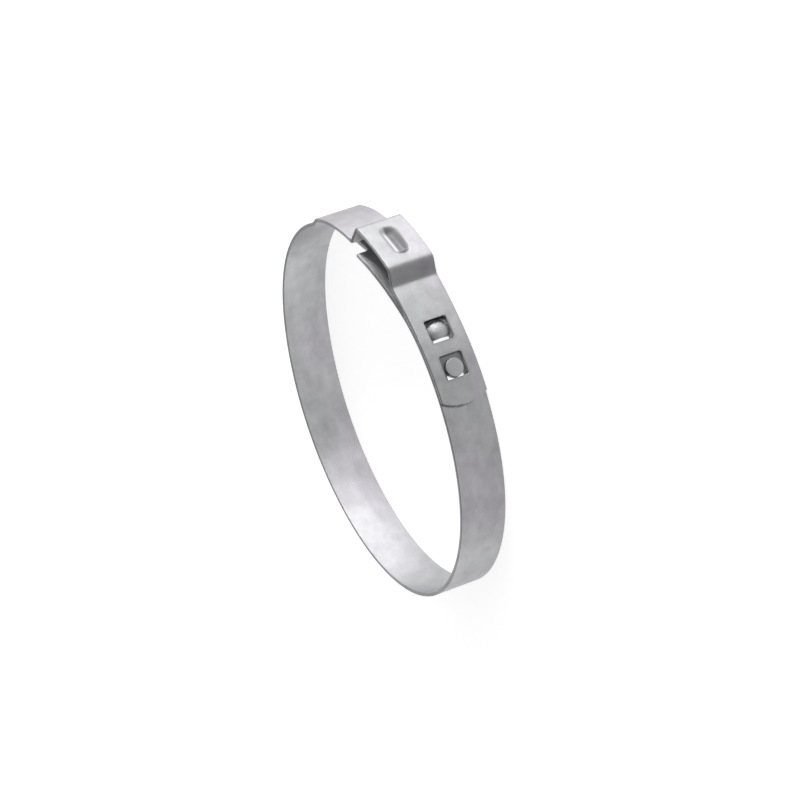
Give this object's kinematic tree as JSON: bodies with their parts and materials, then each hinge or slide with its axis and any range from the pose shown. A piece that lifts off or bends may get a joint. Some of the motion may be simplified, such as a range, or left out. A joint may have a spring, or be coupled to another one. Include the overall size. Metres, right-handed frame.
{
  "type": "ear hose clamp",
  "caption": "Ear hose clamp: a flat steel strip rolled into an overlapping ring, hooked to itself, with a raised ear that is squeezed to tighten it.",
  "frame": {"origin": "centre of the bore's long arc, at the middle of the strip's width", "axes": "+Z along the ring's axis, +Y from the centre to the ear, so the clamp lies flat on the strip's edge"},
  "size_m": [0.0566, 0.0607, 0.007],
  "materials": {
    "band_steel": "satin rolled strip, lightly mottled"
  },
  "bodies": {
    "root": {"clamp_band": "band_steel"}
  },
  "joints": []
}
